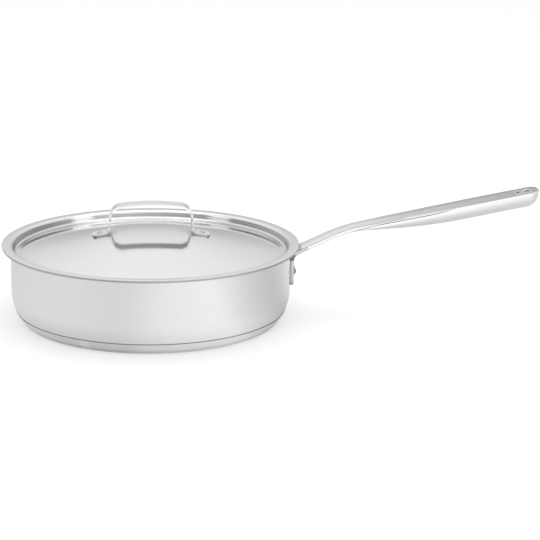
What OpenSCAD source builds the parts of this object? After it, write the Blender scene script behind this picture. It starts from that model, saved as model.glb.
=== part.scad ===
// Saute pan with a fitted lid, a riveted hollow grip and a bail handle on the lid.
// Millimetres, +Z up. The origin is where the pan's axis meets the hob, and the long
// handle points along +X. Every pressed or bent piece is drawn as a bent strip of sheet.

/* [Pan] */
// Outer diameter of the straight wall
pan_d = 260; // [200:2:320]
// Height of the rim's upper face above the hob
rim_z = 70.3; // [64:0.1:100]
// Thickness of the pan's sheet
wall_t = 1.2; // [0.8:0.1:2]
// Outer radius of the belly between the wall and the base
belly_r = 46; // [38:1:50]
// Height at which the belly turns into the straight wall
belly_z = 29.3; // [28:0.1:34]
// Outer radius of the tight bend at the edge of the floor
floor_bend_r = 8; // [6:0.5:9]
// Under-side radius of the poured-out rim
flare_r = 3.2; // [2:0.1:5]
// How far the rim stands out from the wall
rim_out = 7.6; // [6.5:0.1:10]

/* [Base] */
// Thickness of the aluminium core
core_t = 5.2; // [4:0.1:7]
// Thickness of the steel capsule
cap_t = 0.8; // [0.5:0.1:1]
// How far inside the wall the capsule's foot lies
cap_foot_in = 10.9; // [10:0.1:12]
// How far inside the wall the capsule's upper edge lies
cap_top_in = 3.6; // [3:0.1:3.8]
// Height of the capsule's upper edge
cap_h = 10.4; // [9:0.1:11.5]
// Inner radius of the bend at the capsule's foot
cap_bend_r = 1.2; // [0.8:0.1:2]

/* [Long handle] */
// Thickness of the handle's strip
strip_t = 3.6; // [3:0.1:4.5]
// Width of the tab on the wall
tab_w = 22; // [20:0.5:26]
// Height of the tab's lower end
tab_z = 30; // [29.5:0.5:34]
// Height at which the strip leaves the wall
tab_top_z = 54.5; // [52:0.5:56]
// Radius of the corners of the tab
tab_corner_r = 5; // [2:0.5:8]
// Upper-face radius of the bend below the rim
root_bend_r = 10; // [9:0.5:12]
// Slope of the arm, degrees
arm_slope = 24.6; // [20:0.1:28]
// Length of the straight part of the arm
arm_l = 33; // [28:0.5:45]
// Upper-face radius of the crest between arm and grip
crest_r = 140; // [100:5:180]
// Slope of the grip, degrees
grip_slope = 11.2; // [8:0.1:16]
// Distance from the pan's wall to the handle's tip
reach = 233.8; // [210:0.1:280]
// Greatest width of the grip
grip_w = 27; // [24:0.5:32]
// Distance from the tip to the widest place
grip_swell_in = 63.8; // [50:0.1:90]
// Radius of the grip's long bowed sides
grip_side_r = 1786; // [1200:10:2600]
// Radius of the corners at the tip
tip_corner_r = 9; // [6:0.5:11]

/* [Grip shell] */
// Distance from the tip to where the shell begins
shell_l = 177.8; // [150:0.1:190]
// Depth of the shell under the strip
shell_d = 11.1; // [8:0.1:13]
// Distance from the tip to where the shell reaches its full depth
shell_full_in = 71.8; // [60:0.1:100]
// Length over which the shell rounds off at the tip
shell_nose = 10; // [8:0.5:15]
// Sheet thickness of the shell
shell_t = 1.2; // [0.8:0.1:2]
// Share of the strip's edge that the shell's wall hides along the seam
seam_cover = 0.58; // [0.3:0.01:0.7]
// Length over which the wall climbs to that seam
seam_rise_l = 26; // [15:1:40]
// Distance from the tip to where the seam starts to climb further
seam_climb_in = 103.8; // [90:0.1:120]
// Distance from the tip to where it runs just under the top face
seam_end_in = 78.8; // [60:0.1:86]
// Share of the strip's edge that is hidden from there to the tip
seam_end_cover = 0.9; // [0.8:0.01:0.95]
// Diameter of the hanging hole
hang_d = 5.6; // [4:0.1:7]
// Distance from the tip to the hanging hole
hang_in = 10.3; // [9:0.1:20]
// Wall of the tube round the hanging hole
tube_t = 0.8; // [0.5:0.1:1.2]
// Diameter of the vent hole of the hollow grip
vent_d = 3.6; // [2:0.1:4]
// Distance from the hanging hole to the vent hole
vent_pitch = 8.2; // [7.5:0.1:14]

/* [Rivets] */
// Shank diameter of the two rivets of the long handle
rivet_d = 4.5; // [3.5:0.1:5]
// Diameter of their outer heads
rivet_head_d = 6.6; // [6:0.1:8]
// Height of their outer heads
rivet_head_h = 2.7; // [1.5:0.1:3]
// Height of the two rivets above the hob
rivet_z = 43.3; // [42:0.1:45]
// Distance between the two rivets
rivet_pitch = 11.4; // [10:0.1:13]
// Diameter of the low heads inside the pan
rivet_tail_d = 8.4; // [7:0.1:9]
// Height of the low heads inside the pan
rivet_tail_h = 1.2; // [0.8:0.1:2]
// Radial gap between a rivet and its hole
rivet_fit = 0.05; // [0.02:0.01:0.1]

/* [Lid] */
// Thickness of the lid's sheet
lid_t = 1; // [0.6:0.1:1.5]
// Gap between the lid's skirt and the pan's wall
lid_gap = 0.5; // [0.4:0.1:1]
// Distance from the axis at which the dome's round crown turns into a cone
crown_r = 56; // [56:0.1:72]
// Slope of that cone, degrees
cone_slope = 11.3; // [9:0.1:16]
// Depth of the flat brim round the dome below the rim
brim_drop = 6.6; // [5.5:0.1:12]
// Width of that brim
brim_w = 2.3; // [1:0.1:20]
// Upper-face radius of the bend from the cone to the brim
brim_bend_r = 5; // [2:0.5:20]
// Upper-face radius of the bend from flange to skirt
lip_r = 3.5; // [3:0.1:4.5]
// Upper-face radius of the bend from brim to skirt
gutter_r = 3; // [1.2:0.1:3.5]
// How far the lid's flange stands out past the pan's rim
flange_over = 0.4; // [0:0.1:2]

/* [Lid handle] */
// Thickness of the bail's strip
bail_t = 1.8; // [1.5:0.1:3]
// Width of the bail's strip
bail_w = 17; // [12:0.5:20]
// Outer width of the loop
bail_loop_w = 78; // [66:0.5:80]
// Height of the loop above the dome's crown
bail_h = 26.4; // [22:0.1:40]
// Upper-face radius of the loop's arched top
bail_arch_r = 210; // [150:5:400]
// Outer radius of the loop's corners
bail_corner_r = 12.5; // [6:0.5:14]
// Upper-face radius of the bend into each foot
bail_foot_r = 4; // [2:0.5:4.5]
// Lean of the loop's sides away from upright, degrees
bail_lean = 1; // [0:0.5:4]
// Distance between the two foot rivets
bail_rivet_span = 95; // [94:0.5:98]
// Length of each foot past its rivet
bail_toe = 7; // [4:0.1:7]
// Corner radius of each foot
bail_toe_r = 5; // [2:0.5:7]
// Shank diameter of the lid's rivets
bail_rivet_d = 3.2; // [2.5:0.1:3.5]
// Head diameter of the lid's rivets
bail_head_d = 5.2; // [4.5:0.1:6]
// Head height of the lid's rivets
bail_head_h = 1.3; // [0.8:0.1:2]

/* [Hidden] */
$fn = 180;
far = 1000;
bend_step = 3;
bend_chord = 4;

// Pan: the sheet's upper face is the pan's inside.
wall_r = pan_d / 2;
inner_r = wall_r - wall_t;
floor_z = cap_t + core_t + wall_t;
belly_in = belly_r - wall_t;
bend_in = floor_bend_r - wall_t;
belly_start = acos((belly_z - floor_z - bend_in) / (belly_in - bend_in));
floor_flat = inner_r - belly_in + (belly_in - bend_in) * sin(belly_start);
rim_r = wall_r + rim_out;
flare_in = flare_r + wall_t;

// Base: the capsule's side is a cone from the foot to the upper edge.
foot_r = wall_r - cap_foot_in;
cap_slope = atan(cap_h / (cap_foot_in - cap_top_in));
cap_knee = cap_bend_r * tan(cap_slope / 2);
cap_inner_foot = foot_r + cap_t / tan(cap_slope) - cap_t / sin(cap_slope);
cap_flat = cap_inner_foot - cap_knee;
cap_side = (cap_h + cap_t * cos(cap_slope) - cap_t) / sin(cap_slope) - cap_knee;

// Long handle: heights of its upper face, worked out along the strip.
tab_sag = wall_r - sqrt(pow(wall_r, 2) - pow(tab_w / 2, 2));
tab_x = wall_r - tab_sag;
root_turn = 90 - arm_slope;
crest_turn = arm_slope - grip_slope;
arm_x = tab_x + root_bend_r * (1 - cos(root_turn));
arm_z = tab_top_z + root_bend_r * sin(root_turn);
crest_x = arm_x + arm_l * cos(arm_slope);
crest_z = arm_z + arm_l * sin(arm_slope);
hub_x = crest_x + crest_r * sin(arm_slope);
hub_z = crest_z - crest_r * cos(arm_slope);
grip_x = hub_x - crest_r * sin(grip_slope);
grip_z = hub_z + crest_r * cos(grip_slope);
tip_x = wall_r + reach;
swell_x = tip_x - grip_swell_in;
hang_x = tip_x - hang_in;
tube_r = hang_d / 2 + tube_t;

// Grip shell: thin slices along the grip, hollow where it is deep enough.
shell_x = tip_x - shell_l;
shell_full_x = tip_x - shell_full_in;
shell_slices = 26;
shell_hollow_from = 3;
shell_hollow_to = 3;
shell_points = 14;
shell_square = 2.5;
slice_t = 0.1;
seam_gap = 0.03;

// Lid: the skirt hangs inside the wall and the flange lies on the rim. The dome's height
// follows from its slope.
skirt_in = inner_r - lid_gap - lid_t;
lid_top = rim_z + lid_t;
flange_r = rim_r + flange_over;
brim_z = rim_z - brim_drop;
brim_in = skirt_in - gutter_r - brim_w;
dome_r = crown_r / sin(cone_slope);
cone_l = (brim_in - crown_r) / cos(cone_slope) - brim_bend_r * tan(cone_slope);
crown_z = brim_z + cone_l * sin(cone_slope) + (dome_r + brim_bend_r) * (1 - cos(cone_slope));
skirt_h = lid_top - lip_r - gutter_r - brim_z;

// Lid handle: a bent strip whose feet lie along the dome.
dome_z = crown_z - dome_r;
foot_fall = asin(bail_rivet_span / 2 / (dome_r + bail_t));
side_fall = 90 - bail_lean;
arch_half = asin((bail_loop_w / 2 - bail_corner_r * sin(side_fall))
                 / (bail_arch_r - bail_corner_r));
bail_z = crown_z + bail_h;
corner_z = bail_z - bail_arch_r * (1 - cos(arch_half))
           - bail_corner_r * (cos(arch_half) - cos(side_fall));
foot_face_z = dome_z + (dome_r + bail_t) * cos(foot_fall);
heel_out = bail_foot_r * (sin(side_fall) - sin(foot_fall));
heel_drop = bail_foot_r * (cos(foot_fall) - cos(side_fall));
side_l = (corner_z - heel_drop - foot_face_z
          - (bail_rivet_span / 2 - bail_loop_w / 2 - heel_out) * tan(foot_fall))
         / (sin(side_fall) - cos(side_fall) * tan(foot_fall));
heel_x = bail_loop_w / 2 + side_l * cos(side_fall) + heel_out;
toe_x = bail_rivet_span / 2 + bail_toe;
toe_l = (toe_x - heel_x) / cos(foot_fall);
toe_z = foot_face_z - (toe_x - (dome_r + bail_t) * sin(foot_fall)) * tan(foot_fall);

// The upper and lower point of a bent sheet at each station of its path. The path starts
// at pos with the given heading and has the sheet of thickness t on its right. Each step is
// [straight length, turn in degrees, radius at the upper face]; a left turn is positive.
function stations(steps, t, pos = [0, 0], heading = 0, i = 0) =
    i == len(steps) ? [pair(pos, heading, t)]
    : let (run = steps[i][0], turn = steps[i][1], r = steps[i][2],
           knee = pos + run * [cos(heading), sin(heading)],
           side = sign(turn),
           hub = knee + side * r * [-sin(heading), cos(heading)],
           cuts = max(1, ceil(abs(turn) / bend_step), ceil(r * abs(turn) / 57.3 / bend_chord)),
           end = heading + turn)
      concat(run > 0 ? [pair(pos, heading, t)] : [],
             turn == 0 ? [] : [for (k = [0 : cuts - 1]) let (a = heading + turn * k / cuts)
                               pair(hub + side * r * [sin(a), -cos(a)], a, t)],
             stations(steps, t, turn == 0 ? knee : hub + side * r * [sin(end), -cos(end)],
                      end, i + 1));

function pair(pos, heading, t) = [pos, pos + t * [sin(heading), -cos(heading)]];

// Section of a bent sheet as one closed outline.
module bent_sheet(steps, t, start = [0, 0], heading = 0) {
    rows = stations(steps, t, start, heading);
    polygon(concat([for (row = rows) row[0]],
                   [for (k = [len(rows) - 1 : -1 : 0]) rows[k][1]]));
}

// Path along the inside of the pan, from the middle of the floor to the rim's edge.
pan_path = [[floor_flat, belly_start, bend_in],
            [0, 90 - belly_start, belly_in],
            [rim_z - flare_in - belly_z, -90, flare_in],
            [rim_r - wall_r - flare_r, 0, 0]];

// Everything above the outer face of the pan's floor and belly, up to the rim.
module belly_fill() {
    rows = stations(pan_path, wall_t, [0, floor_z]);
    polygon(concat([for (row = rows) row[1]], [[0, rim_z]]));
}

module rivet_places() {
    for (side = [-1, 1]) translate([0, side * rivet_pitch / 2, rivet_z]) rotate([0, 90, 0])
        children();
}

module pan_body() {
    color("gainsboro") difference() {
        rotate_extrude() bent_sheet(pan_path, wall_t, [0, floor_z]);
        rivet_places() cylinder(h = far, d = rivet_d + 2 * rivet_fit);
    }
}

module base_core() {
    color("silver") rotate_extrude() difference() {
        polygon([[0, cap_t], [cap_flat, cap_t],
                 [cap_inner_foot + cap_knee * cos(cap_slope), cap_t + cap_knee * sin(cap_slope)],
                 [cap_inner_foot + (cap_h - cap_t) / tan(cap_slope), cap_h], [0, cap_h]]);
        belly_fill();
    }
}

module base_cap() {
    color("lightgray") rotate_extrude() difference() {
        bent_sheet([[cap_flat, cap_slope, cap_bend_r], [cap_side, 0, 0]], cap_t, [0, cap_t]);
        belly_fill();
    }
}

// Side view of the long handle's strip, from the tab's lower end to past the tip.
module strip_section() {
    bent_sheet([[tab_top_z - tab_z, -root_turn, root_bend_r],
                [arm_l, -crest_turn, crest_r],
                [(tip_x - grip_x) / cos(grip_slope) + strip_t, 0, 0]],
               strip_t, [tab_x, tab_z], 90);
}

// Half width of the handle at distance x from the pan's axis: the grip's bowed sides, and
// then the corners of the tip.
function bow(x) = grip_w / 2 - grip_side_r + sqrt(pow(grip_side_r, 2) - pow(x - swell_x, 2));
tip_half = bow(tip_x - tip_corner_r) - tip_corner_r;
function plan_half(x) = x < tip_x - tip_corner_r ? bow(x)
    : tip_half + sqrt(max(0, pow(tip_corner_r, 2) - pow(x - tip_x + tip_corner_r, 2)));

// Outline of the long handle seen from above, drawn in by inset.
module handle_plan(inset = 0) {
    corner = tip_corner_r - inset;
    side = concat([[0, tab_w / 2 - inset], [tab_x + strip_t, tab_w / 2 - inset]],
                  [for (k = [0 : 16]) let (x = shell_x + (tip_x - tip_corner_r - shell_x) * k / 16)
                   [x, plan_half(x) - inset]],
                  [for (a = [bend_step : bend_step : 90])
                   [tip_x - tip_corner_r + corner * sin(a), tip_half + corner * cos(a)]]);
    polygon(concat(side, [for (k = [len(side) - 1 : -1 : 0]) [side[k][0], -side[k][1]]]));
}

// Front view of the tab with its rounded lower corners; wide above the tab.
module tab_front() {
    translate([-far / 2, tab_top_z]) square([far, far]);
    translate([-tab_w / 2, tab_z + tab_corner_r]) square([tab_w, tab_top_z - tab_z]);
    translate([tab_corner_r - tab_w / 2, tab_z])
        square([tab_w - 2 * tab_corner_r, tab_top_z - tab_z]);
    for (side = [-1, 1])
        translate([side * (tab_w / 2 - tab_corner_r), tab_z + tab_corner_r])
            circle(tab_corner_r);
}

// Places children with their Z axis through the grip's upper face, square to it.
module on_grip(x) {
    translate([x, 0, grip_top(x)]) rotate([0, -grip_slope, 0]) children();
}

function grip_top(x) = grip_z + (x - grip_x) * tan(grip_slope);

// Upper and under face of the strip, on the crest and along the grip.
function strip_over(x) = x < grip_x
    ? hub_z + sqrt(pow(crest_r, 2) - pow(x - hub_x, 2)) : grip_top(x);
function strip_under(x) = x < hub_x - (crest_r - strip_t) * sin(grip_slope)
    ? hub_z + sqrt(pow(crest_r - strip_t, 2) - pow(x - hub_x, 2))
    : grip_top(x) - strip_t / cos(grip_slope);

// How far the shell's wall stands up beside the strip, from the strip's under face.
function seam_rise(x) = (strip_over(x) - strip_under(x))
    * lookup(x, [[shell_x, 0], [shell_x + seam_rise_l, seam_cover],
                 [tip_x - seam_climb_in, seam_cover], [tip_x - seam_end_in, seam_end_cover]]);

// The strip as a slab across the whole width.
module strip_slab() {
    translate([0, far / 2, 0]) rotate([90, 0, 0]) linear_extrude(far) strip_section();
}

// Everything below the seam, from the shell's beginning to past the tip.
module below_seam() {
    past = tip_x + shell_nose;
    line = [for (x = concat([for (i = [0 : shell_slices]) slice_x(i)], [past]))
            [x, strip_under(x) + seam_rise(x)]];
    translate([0, far / 2, 0]) rotate([90, 0, 0]) linear_extrude(far)
        polygon(concat(line, [[past, 0], [shell_x, 0]]));
}

module handle_strip() {
    color("darkgray") difference() {
        intersection() {
            strip_slab();
            linear_extrude(far) handle_plan();
            rotate([90, 0, 90]) linear_extrude(far) tab_front();
        }
        cylinder(h = tab_top_z + root_bend_r, r = wall_r);
        rivet_places() cylinder(h = far, d = rivet_d + 2 * rivet_fit);
        on_grip(hang_x) cylinder(h = 4 * strip_t, r = tube_r, center = true);
        on_grip(hang_x - vent_pitch) cylinder(h = 4 * strip_t, d = vent_d, center = true);
        difference() {
            below_seam();
            linear_extrude(far) handle_plan(shell_t);
        }
    }
}

// Depth of the shell: it grows from nothing, stays level, and rounds off at the tip.
function ease(u) = u <= 0 ? 0 : u >= 1 ? 1 : sin(90 * u);
function nose(x) = sqrt(max(0, 1 - pow(max(0, x - tip_x + shell_nose) / shell_nose, 2)));
function shell_depth(x) = shell_d * nose(x)
    * ease((x - shell_x) / (shell_full_x - shell_x));

// Distance of slice i from the pan's axis; the slices crowd together towards the tip.
function slice_x(i) = let (even = shell_slices - 8) i < even
    ? shell_x + (tip_x - shell_nose - shell_x) * i / even
    : tip_x - slice_t - (shell_nose - slice_t) * (1 - sin(90 * (i - even) / (shell_slices - even)));

// Thin cross-section of the shell at x: a squared U hung from the strip's under face, drawn
// in by inset, with sides that stand up by open.
module shell_slice(x, inset, open) {
    half = max(0.5, plan_half(x) - inset);
    depth = max(0.1, shell_depth(x) - inset);
    translate([x, 0, strip_under(x)]) rotate([90, 0, 90]) linear_extrude(slice_t)
        polygon(concat([[half, open], [-half, open]],
                       [for (k = [shell_points : -1 : 0]) let (a = 180 * k / shell_points, c = cos(a))
                        [half * sign(c) * pow(abs(c), 2 / shell_square),
                         -depth * pow(sin(a), 2 / shell_square)]]));
}

// Loft through the slices from first to last, as high as the seam or, where cut is more
// than 0, open and drawn in by cut.
module shell_loft(first, last, cut = 0) {
    for (i = [first : last - 1]) hull() for (x = [slice_x(i), slice_x(i + 1)])
        shell_slice(x, cut, cut > 0 ? 2 * strip_t : max(0, seam_rise(x) - seam_gap));
}

module handle_shell() {
    color("whitesmoke") difference() {
        shell_loft(0, shell_slices);
        shell_loft(shell_hollow_from, shell_slices - shell_hollow_to, shell_t);
        translate([0, 0, -seam_gap]) intersection() {
            strip_slab();
            linear_extrude(far) handle_plan(shell_t - seam_gap);
        }
        on_grip(hang_x) cylinder(h = far / 4, r = tube_r, center = true);
    }
}

// The tube ends inside the shell's sheet on the side towards the tip, where it rounds off.
hang_l = strip_t + shell_depth(hang_x + tube_r) * cos(grip_slope);

module hang_tube() {
    color("silver") on_grip(hang_x) translate([0, 0, -hang_l]) difference() {
        cylinder(h = hang_l, r = tube_r);
        translate([0, 0, -1]) cylinder(h = hang_l + 2, d = hang_d);
    }
}

// A domed rivet head of diameter d and height h, flat side on the XY plane.
module head(d, h) {
    ball_r = (pow(d / 2, 2) + pow(h, 2)) / (2 * h);
    rotate_extrude() intersection() {
        translate([0, h - ball_r]) circle(ball_r);
        square([d / 2, h]);
    }
}

module handle_rivets() {
    face_x = tab_x + strip_t;
    color("silver") rivet_places() {
        translate([0, 0, face_x]) head(rivet_head_d, rivet_head_h);
        translate([0, 0, inner_r - tab_sag]) cylinder(h = strip_t + wall_t, d = rivet_d);
        translate([0, 0, inner_r - tab_sag]) rotate([180, 0, 0])
            head(rivet_tail_d, rivet_tail_h);
    }
}

// Places children at the lid's two rivets, Z along the dome's outward normal.
module foot_places() {
    for (side = [-1, 1]) translate([0, 0, dome_z]) rotate([0, side * foot_fall, 0])
        children();
}

module lid_shell() {
    color("gainsboro") difference() {
        rotate_extrude() bent_sheet([[0, -cone_slope, dome_r],
                                     [cone_l, cone_slope, brim_bend_r],
                                     [brim_w, 90, gutter_r],
                                     [skirt_h, -90, lip_r],
                                     [flange_r - skirt_in - lip_r, 0, 0]], lid_t, [0, crown_z]);
        foot_places() translate([0, 0, dome_r - bail_t * 2])
            cylinder(h = bail_t * 4, d = bail_rivet_d + 2 * rivet_fit);
    }
}

module bail_section() {
    corner_turn = side_fall - arch_half;
    bent_sheet([[toe_l, side_fall - foot_fall, bail_foot_r],
                [side_l, -corner_turn, bail_corner_r],
                [0, -2 * arch_half, bail_arch_r],
                [0, -corner_turn, bail_corner_r],
                [side_l, side_fall - foot_fall, bail_foot_r],
                [toe_l, 0, 0]], bail_t, [-toe_x, toe_z], foot_fall);
}

module bail_plan() {
    square([2 * (toe_x - bail_toe_r), bail_w], center = true);
    square([2 * toe_x, bail_w - 2 * bail_toe_r], center = true);
    for (x = [-1, 1], y = [-1, 1])
        translate([x * (toe_x - bail_toe_r), y * (bail_w / 2 - bail_toe_r)])
            circle(bail_toe_r);
}

module lid_handle() {
    color("silver") difference() {
        intersection() {
            translate([0, far / 2, 0]) rotate([90, 0, 0])
                linear_extrude(far) bail_section();
            linear_extrude(far) bail_plan();
        }
        foot_places() translate([0, 0, dome_r - bail_t])
            cylinder(h = bail_t * 3, d = bail_rivet_d + 2 * rivet_fit);
    }
}

module lid_rivets() {
    color("darkgray") foot_places() {
        translate([0, 0, dome_r + bail_t]) head(bail_head_d, bail_head_h);
        translate([0, 0, dome_r - lid_t - rivet_fit]) {
            cylinder(h = bail_t + lid_t + rivet_fit, d = bail_rivet_d);
            rotate([180, 0, 0]) head(bail_head_d, bail_head_h);
        }
    }
}

pan_body();
base_core();
base_cap();
handle_strip();
handle_shell();
hang_tube();
handle_rivets();
lid_shell();
lid_handle();
lid_rivets();
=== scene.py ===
import math

import bmesh
import bpy
from mathutils import Matrix, Vector


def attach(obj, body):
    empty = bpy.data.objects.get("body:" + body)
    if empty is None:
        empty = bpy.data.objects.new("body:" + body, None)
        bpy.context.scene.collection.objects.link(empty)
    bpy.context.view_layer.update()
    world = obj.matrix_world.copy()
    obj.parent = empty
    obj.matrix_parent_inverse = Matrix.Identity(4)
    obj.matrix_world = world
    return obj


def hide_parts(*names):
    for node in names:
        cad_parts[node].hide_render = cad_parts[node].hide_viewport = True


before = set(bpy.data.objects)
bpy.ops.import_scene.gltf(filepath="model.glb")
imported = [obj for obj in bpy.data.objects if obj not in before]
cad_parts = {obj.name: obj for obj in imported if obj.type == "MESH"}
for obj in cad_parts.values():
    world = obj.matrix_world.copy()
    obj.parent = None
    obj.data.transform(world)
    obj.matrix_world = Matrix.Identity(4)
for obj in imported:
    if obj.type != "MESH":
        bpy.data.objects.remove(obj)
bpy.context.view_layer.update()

# Sizes are in millimetres and degrees, as in the part's own source; MM makes them metres.
MM = 0.001

# Pan
WALL_R = 130.0
WALL_T = 1.2
RIM_Z = 70.3
RIM_OUT = 7.6
FLARE_R = 3.2
BELLY_R = 46.0
BELLY_Z = 29.3
FLOOR_BEND_R = 8.0
RIM_R = WALL_R + RIM_OUT

# Base
CORE_T = 5.2
CAP_T = 0.8
CAP_H = 10.4
CAP_BEND_R = 1.2
CAP_FOOT_IN = 10.9
CAP_TOP_IN = 3.6
CAP_FOOT_R = WALL_R - CAP_FOOT_IN
CAP_TOP_R = WALL_R - CAP_TOP_IN
FLOOR_Z = CAP_T + CORE_T + WALL_T

# Long handle
STRIP_T = 3.6
TAB_W = 22.0
TAB_Z = 30.0
TAB_TOP_Z = 54.5
TAB_CORNER_R = 5.0
ROOT_BEND_R = 10.0
ARM_SLOPE = 24.6
ARM_L = 33.0
CREST_R = 140.0
GRIP_SLOPE = 11.2
GRIP_W = 27.0
GRIP_SWELL_IN = 63.8
GRIP_SIDE_R = 1786.0
TIP_CORNER_R = 9.0
REACH = 233.8
TIP_X = WALL_R + REACH
SWELL_X = TIP_X - GRIP_SWELL_IN

# Grip shell
SHELL_T = 1.2
SHELL_L = 177.8
SHELL_D = 11.1
SHELL_FULL_IN = 71.8
SHELL_NOSE = 10.0
SHELL_SQUARE = 2.5
SHELL_X = TIP_X - SHELL_L
SHELL_FULL_X = TIP_X - SHELL_FULL_IN

# Seam: X, and the share of the strip's edge that the shell's wall hides there
SEAM_COVER = 0.58
SEAM_END_COVER = 0.9
SEAM_RISE_L = 26.0
SEAM_CLIMB_IN = 103.8
SEAM_END_IN = 78.8
SEAM_X = SHELL_X + SEAM_RISE_L
SEAM = [(SHELL_X, 0.0), (SEAM_X, SEAM_COVER), (TIP_X - SEAM_CLIMB_IN, SEAM_COVER),
        (TIP_X - SEAM_END_IN, SEAM_END_COVER)]

# Holes near the tip
HANG_D = 5.6
HANG_IN = 10.3
HANG_X = TIP_X - HANG_IN
TUBE_T = 0.8
TUBE_R = HANG_D / 2 + TUBE_T
VENT_D = 3.6
VENT_PITCH = 8.2

# Rivets of the long handle; a head is its diameter and height
RIVET_D = 4.5
RIVET_Z = 43.3
RIVET_PITCH = 11.4
RIVET_HEAD = (6.6, 2.7)
RIVET_TAIL = (8.4, 1.2)

# Lid
LID_T = 1.0
LID_GAP = 0.5
CROWN_R = 56.0
CONE_SLOPE = 11.3
BRIM_DROP = 6.6
BRIM_W = 2.3
BRIM_BEND_R = 5.0
GUTTER_R = 3.0
LIP_R = 3.5
FLANGE_OVER = 0.4
BRIM_Z = RIM_Z - BRIM_DROP
FLANGE_R = RIM_R + FLANGE_OVER
SKIRT_IN = WALL_R - WALL_T - LID_GAP - LID_T
BRIM_IN = SKIRT_IN - GUTTER_R - BRIM_W

# Bail on the lid
BAIL_T = 1.8
BAIL_W = 17.0
BAIL_LOOP_W = 78.0
BAIL_H = 26.4
BAIL_ARCH_R = 210.0
BAIL_CORNER_R = 12.5
BAIL_FOOT_R = 4.0
BAIL_LEAN = 1.0
BAIL_SPAN = 95.0
BAIL_TOE = 7.0
BAIL_TOE_R = 5.0
BAIL_RIVET_D = 3.2
BAIL_HEAD = (5.2, 1.3)
TOE_X = BAIL_SPAN / 2 + BAIL_TOE

# Rounded edges, grooves and clearances that only the looks have
SHEET_EDGE = 0.3
STRIP_EDGE = 0.5
STRIP_EDGE_SHARE = 0.8
LEAST_EDGE = 0.02
BAIL_EDGE = 0.45
TUBE_LIP = 0.4
BORE_START = 0.9 * TUBE_LIP
SEAM_GROOVE = 0.6
GROOVE_FADE_IN = 0.3
GROOVE_FADE_OUT = 0.2
PLAY = 0.05

# Height of the painted shadow line round the top of the base
CAP_SHADE_LINE = 0.55
# Where the painted dark line on the strip's upper edge ends, a painted reflection; how high
# painted shade covers its root under the rim; and how high the tab's sides reach, darker with
# painted shade
PAINTED_EDGE_LINE_X = 235.0
ROOT_SHADE_SHARE = 0.6
ROOT_SHADE_Z = TAB_TOP_Z + ROOT_SHADE_SHARE * ROOT_BEND_R
ROOT_TOP_Z = TAB_TOP_Z + ROOT_BEND_R
# A face of the strip is on its side when its normal's Y is past SIDE_TURN, and on its
# rounded edge when that Y is between the other two
SIDE_TURN = 0.6
EDGE_TURN = 0.3
EDGE_TURN_MAX = 0.9
# Materials of the strip, in their order; the third is painted shade, the fourth partly painted
# shade
STRIP_FACE, STRIP_SIDE, STRIP_PAINTED_SHADE, STRIP_SHADED_TAB = range(4)
# The bail is duller and darker, partly painted shade, above this height where its normal points so
# far down or to the middle
BAIL_UNDER_Z = 84.0
DOWNWARD = 0.7
INWARD = 0.5

# How finely shapes are cut: points of a full turn, longest steps of straight runs and of
# bends, cuts along a rounding or a length, degrees to a step of a foot's or tab's corner
TURNS = 288
SMALL_TURNS = 64
RIVET_TURNS = 48
RUN_STEP = 12.0
BEND_STEP = 2.5
BEND_CHORD = 2.5
EDGE_CUTS = 4
LOW_EDGE_CUTS = 3
HEAD_CUTS = 14
GRIP_CUTS = 24
TIP_CUTS = 18
SHELL_CUTS = 100
NOSE_CUTS = 34
BOWL_CUTS = 44
TAB_STEP = 8
TOE_STEP = 6
# Points closer than these are made one, or count as being at the same place
STRIP_WELD = 0.003
SHELL_WELD = 0.002
NEAR = 0.01


def sin(degrees):
    return math.sin(math.radians(degrees))


def cos(degrees):
    return math.cos(math.radians(degrees))


def tan(degrees):
    return math.tan(math.radians(degrees))


def quarter(cuts):
    """Angles from 0 to 90 in equal cuts."""
    return [90 * k / cuts for k in range(cuts + 1)]


DOME_R = CROWN_R / sin(CONE_SLOPE)
CONE_L = ((BRIM_IN - CROWN_R) - BRIM_BEND_R * sin(CONE_SLOPE)) / cos(CONE_SLOPE)
CROWN_Z = BRIM_Z + CONE_L * sin(CONE_SLOPE) + (DOME_R + BRIM_BEND_R) * (1 - cos(CONE_SLOPE))
FOOT_SLOPE = math.degrees(math.asin(BAIL_SPAN / 2 / (DOME_R + BAIL_T)))


def ahead(heading):
    return Vector((cos(heading), sin(heading)))


def down(heading):
    return Vector((sin(heading), -cos(heading)))


def stations(steps, start, heading=0.0):
    """Places and headings along a bent path; a step is (straight length, turn, radius)."""
    pos = Vector(start)
    rows = [(pos.copy(), heading)]
    for run, turn, radius in steps:
        if run > 0:
            cuts = max(1, math.ceil(run / RUN_STEP))
            for k in range(1, cuts + 1):
                rows.append((pos + ahead(heading) * run * k / cuts, heading))
            pos = rows[-1][0].copy()
        if turn:
            side = 1 if turn > 0 else -1
            hub = pos - down(heading) * radius * side
            cuts = max(2, math.ceil(abs(turn) / BEND_STEP),
                       math.ceil(radius * math.radians(abs(turn)) / BEND_CHORD))
            for k in range(1, cuts + 1):
                a = heading + turn * k / cuts
                rows.append((hub + down(a) * radius * side, a))
            pos = rows[-1][0].copy()
            heading += turn
    return rows


def under(row, t):
    """The point at depth t under a station's upper face."""
    pos, heading = row
    return pos + down(heading) * t


def sheet_outline(rows, t):
    """Open outline of a sheet from the axis: upper face, rounded free edge, under face."""
    pos, heading = rows[-1]
    out, low = ahead(heading), down(heading)
    upper = [row[0] for row in rows[:-1]]
    corner = []
    for depth, first in ((SHEET_EDGE, 90), (t - SHEET_EDGE, 0)):
        hub = pos - out * SHEET_EDGE + low * depth
        for turn in quarter(EDGE_CUTS):
            a = first - turn
            corner.append(hub + out * SHEET_EDGE * cos(a) - low * SHEET_EDGE * sin(a))
    lower = [under(row, t) for row in reversed(rows[:-1])]
    return upper + corner + lower


def rounded(half, corner_r, past):
    """Half width of a strip's end at the distance past the start of its round corners."""
    return half - corner_r + math.sqrt(max(0.0, corner_r ** 2 - max(0.0, past) ** 2))


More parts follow.
